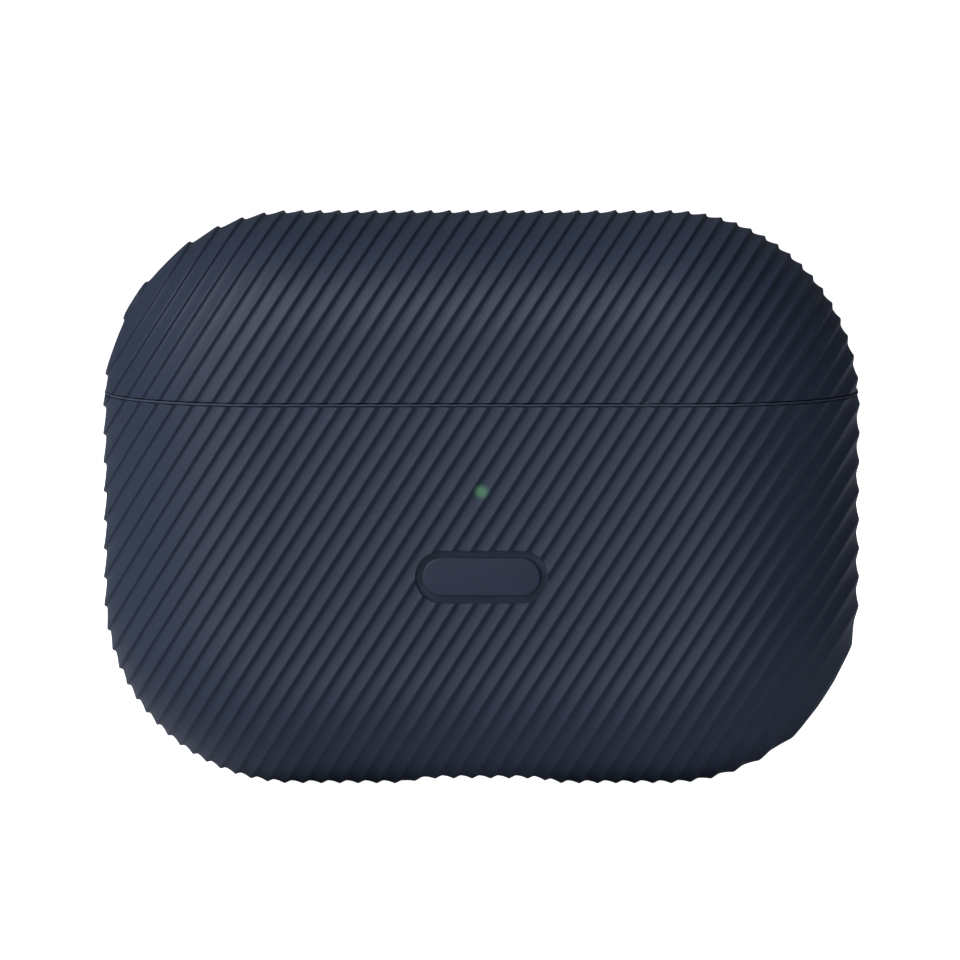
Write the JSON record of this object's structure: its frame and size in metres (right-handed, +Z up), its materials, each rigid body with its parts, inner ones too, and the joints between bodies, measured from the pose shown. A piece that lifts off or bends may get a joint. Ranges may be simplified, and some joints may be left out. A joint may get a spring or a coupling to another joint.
{
  "type": "wireless earbuds case",
  "caption": "Pocket charging case for wireless earbuds in a two-piece ribbed silicone cover, with hinged lid, charging port, status light and setup button.",
  "frame": {"origin": "middle of the underside's bounding box", "axes": "+X to the right seen from the front, +Y to the back (hinge side), +Z up"},
  "size_m": [0.0632, 0.0242, 0.0478],
  "materials": {
    "silicone": "matte, finely ribbed",
    "white_plastic": "polished",
    "adhesive": "frosted film",
    "steel": "satin",
    "black_plastic": "moulded",
    "circuit_board": "solder mask",
    "gasket_rubber": "soft",
    "copper": "enamelled wire",
    "gold_plate": "plated",
    "cell_wrap": "foil pouch",
    "foam": "closed cell",
    "light_guide": "clear",
    "green_light": "clear lens",
    "magnet": "nickel plated"
  },
  "bodies": {
    "base": {"base_skin": "silicone", "base_shell": "white_plastic", "inner_tray": "white_plastic", "hinge_base_leaf": "steel", "hinge_pin": "steel", "hinge_base_screws": "steel", "charge_port": "steel", "port_tongue": "black_plastic", "port_board": "circuit_board", "port_gasket": "gasket_rubber", "port_flex": "gold_plate", "main_board": "circuit_board", "board_chips": "black_plastic", "board_screws": "steel", "hall_sensor": "black_plastic", "charging_coil": "copper", "coil_leads": "copper", "ferrite_sheet": "black_plastic", "button_switch": "steel", "light_pipe": "light_guide", "status_led": "green_light", "led_board": "circuit_board", "led_flex": "gold_plate", "battery_left": "cell_wrap", "battery_right": "cell_wrap", "battery_pads": "foam", "battery_tabs": "steel", "contact_block_left": "black_plastic", "contact_block_right": "black_plastic", "contact_flexes": "gold_plate", "base_closure_magnets": "magnet", "earbud_magnets": "magnet", "contact_spring_left_outer": "steel", "contact_spring_left_inner": "steel", "contact_spring_right_inner": "steel", "contact_spring_right_outer": "steel"},
    "lid": {"lid_skin": "silicone", "lid_adhesive_strips": "adhesive", "lid_shell": "white_plastic", "lid_liner": "white_plastic", "hinge_lid_leaf": "steel", "hinge_lid_screws": "steel", "lid_closure_magnets": "magnet", "lid_sense_magnet": "magnet"},
    "button": {"setup_button": "white_plastic", "switch_plunger": "black_plastic"},
    "pin_left_outer": {"contact_pin_left_outer": "gold_plate"},
    "pin_left_inner": {"contact_pin_left_inner": "gold_plate"},
    "pin_right_inner": {"contact_pin_right_inner": "gold_plate"},
    "pin_right_outer": {"contact_pin_right_outer": "gold_plate"}
  },
  "joints": [
    {"name": "lid_hinge", "type": "hinge", "parent": "base", "child": "lid", "pos_m": [0, 0.0111, 0.0329], "axis": [-1, 0, 0], "range_deg": [0, 100]},
    {"name": "setup_button_press", "type": "slide", "parent": "base", "child": "button", "axis": [0, -1, 0], "range_m": [0, 0.00035], "stiffness_N_per_m": 3000},
    {"name": "contact_left_outer_press", "type": "slide", "parent": "base", "child": "pin_left_outer", "axis": [0, 0, -1], "range_m": [0, 0.0005], "stiffness_N_per_m": 800, "deforming": ["contact_spring_left_outer"]},
    {"name": "contact_left_inner_press", "type": "slide", "parent": "base", "child": "pin_left_inner", "axis": [0, 0, -1], "range_m": [0, 0.0005], "stiffness_N_per_m": 800, "deforming": ["contact_spring_left_inner"]},
    {"name": "contact_right_inner_press", "type": "slide", "parent": "base", "child": "pin_right_inner", "axis": [0, 0, -1], "range_m": [0, 0.0005], "stiffness_N_per_m": 800, "deforming": ["contact_spring_right_inner"]},
    {"name": "contact_right_outer_press", "type": "slide", "parent": "base", "child": "pin_right_outer", "axis": [0, 0, -1], "range_m": [0, 0.0005], "stiffness_N_per_m": 800, "deforming": ["contact_spring_right_outer"]}
  ]
}
